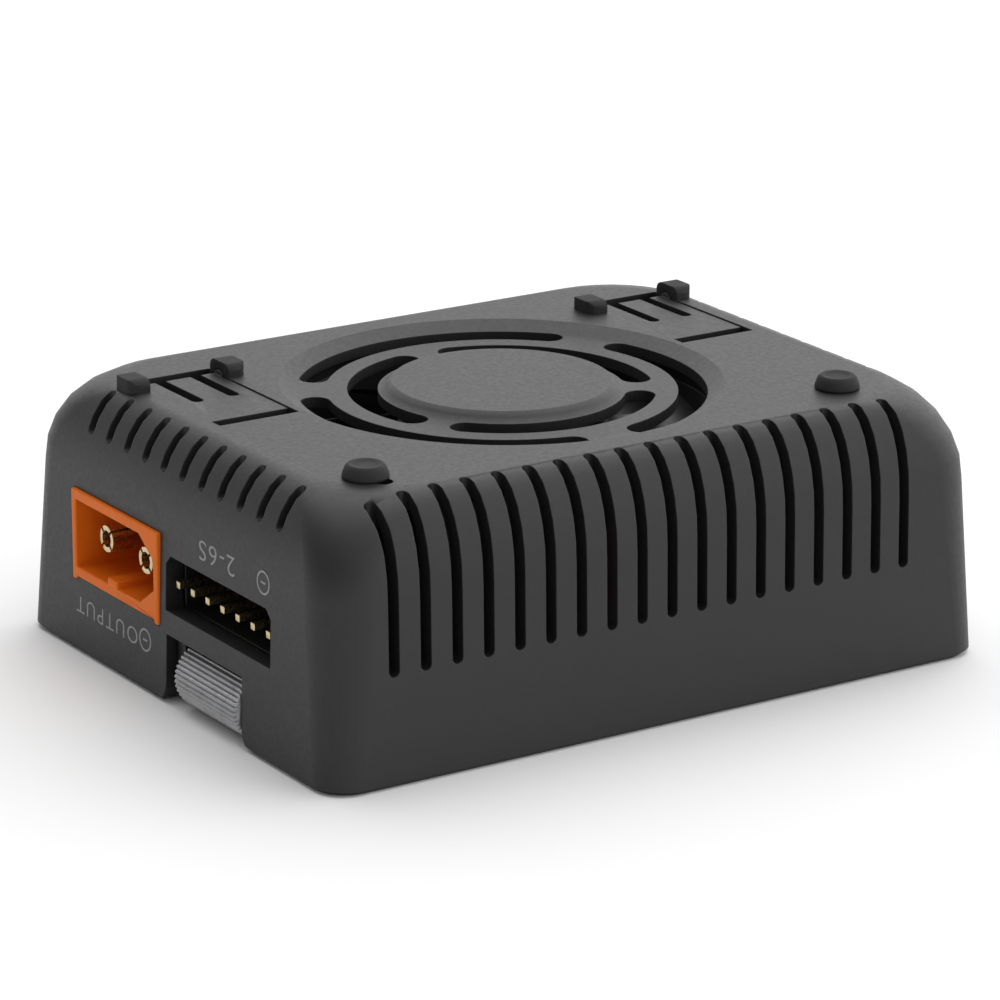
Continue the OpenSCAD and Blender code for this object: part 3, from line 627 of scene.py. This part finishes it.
def polarity_mark(name, y_mm, z_mm, radius_mm):
    """A ring with a short bar in it."""
    steps, line = 48, 0.09
    depth = PRINT_MM / 2
    work = bmesh.new()
    section = ((radius_mm - line, -depth), (radius_mm + line, -depth), (radius_mm + line, depth),
               (radius_mm - line, depth))
    rings = [turned_ring(work, 0, 0, r, z * MM, steps) for r, z in section]
    bridge_rings(work, rings + rings[:1], closed_ends=False)
    half = radius_mm * 0.4
    bar = bmesh.ops.create_cube(work, size=1)["verts"]
    bmesh.ops.scale(work, verts=bar, vec=(2 * half * MM, 2 * line * MM, 2 * depth * MM))
    bmesh.ops.recalc_face_normals(work, faces=work.faces)
    mesh = bpy.data.meshes.new(name)
    work.to_mesh(mesh)
    work.free()
    add_print(name, mesh, end_face_matrix(y_mm, z_mm))


word("mark_output", "OUTPUT", 37.8, 4.65, 1.5, 1.2, 1.15)
polarity_mark("mark_output_minus", 31.0, 4.75, 0.95)
word("mark_cells", "2-6S", 18.9, 15.65, 1.75, 1.12, 1.25)
polarity_mark("mark_cells_minus", 11.3, 15.6, 0.95)


# ------------------------------------------------------- camera, floor and light

CAMERA_AZIMUTH, CAMERA_ELEVATION, CAMERA_ROLL = radians(-33.376), radians(17.897), radians(0.351)
CAMERA_LENS = 169.25
CAMERA_PLACE = at(-184.19, -304.15, 140.73)


def add_camera():
    """Low three-quarter view of the output end and the near long side."""
    azimuth, elevation, roll = CAMERA_AZIMUTH, CAMERA_ELEVATION, CAMERA_ROLL
    back = Vector((sin(azimuth) * cos(elevation), -cos(azimuth) * cos(elevation), sin(elevation)))
    right = Vector((cos(azimuth), sin(azimuth), 0))
    up = back.cross(right)
    tilted_right = cos(roll) * right + sin(roll) * up
    tilted_up = -sin(roll) * right + cos(roll) * up
    camera = bpy.data.objects.new("camera", bpy.data.cameras.new("camera"))
    camera.data.sensor_width = 36
    camera.data.lens = CAMERA_LENS
    camera.data.clip_start = 0.01
    camera.data.clip_end = 20
    basis = Matrix((tilted_right, tilted_up, back)).transposed().to_4x4()
    camera.matrix_world = Matrix.Translation(CAMERA_PLACE) @ basis
    bpy.context.scene.collection.objects.link(camera)
    bpy.context.scene.camera = camera


def add_floor():
    """A plain pale sweep under the charger."""
    work = bmesh.new()
    bmesh.ops.create_grid(work, x_segments=1, y_segments=1, size=3)
    mesh = bpy.data.meshes.new("floor")
    work.to_mesh(mesh)
    work.free()
    floor = bpy.data.objects.new("floor", mesh)
    bpy.context.scene.collection.objects.link(floor)
    n = Nodes("floor_paper")
    n.finish((0.86, 0.86, 0.86, 1), 0.9, specular_ior_level=0.1)
    mesh.materials.append(n.material)


def add_light(name, place, target, size, power):
    """A rectangular lamp that faces a point; its power is in watts."""
    light = bpy.data.lights.new(name, "AREA")
    light.shape = "RECTANGLE"
    light.size, light.size_y = size
    light.energy = power
    obj = bpy.data.objects.new(name, light)
    obj.location = place
    obj.rotation_euler = (Vector(target) - Vector(place)).to_track_quat("-Z", "Y").to_euler()
    bpy.context.scene.collection.objects.link(obj)


def add_world(output_side, input_side):
    """White surroundings, dimmer beyond the output end and brighter beyond the input end."""
    world = bpy.data.worlds.new("studio")
    world.use_nodes = True
    tree = world.node_tree
    coords = tree.nodes.new("ShaderNodeTexCoord")
    split = tree.nodes.new("ShaderNodeSeparateXYZ")
    level = tree.nodes.new("ShaderNodeMapRange")
    tree.links.new(coords.outputs["Generated"], split.inputs["Vector"])
    tree.links.new(split.outputs["X"], level.inputs["Value"])
    set_range(level, -1, 1, output_side, input_side)
    background = tree.nodes["Background"]
    background.inputs["Color"].default_value = (1, 1, 1, 1)
    tree.links.new(level.outputs["Result"], background.inputs["Strength"])
    bpy.context.scene.world = world


add_camera()
add_floor()
add_world(0.15, 1.85)
add_light("overhead", (0.1, 0.25, 0.8), (0, 0, 0), (1.0, 1.0), 3.0)
bpy.context.scene.view_settings.view_transform = "Standard"

bpy.context.view_layer.update()
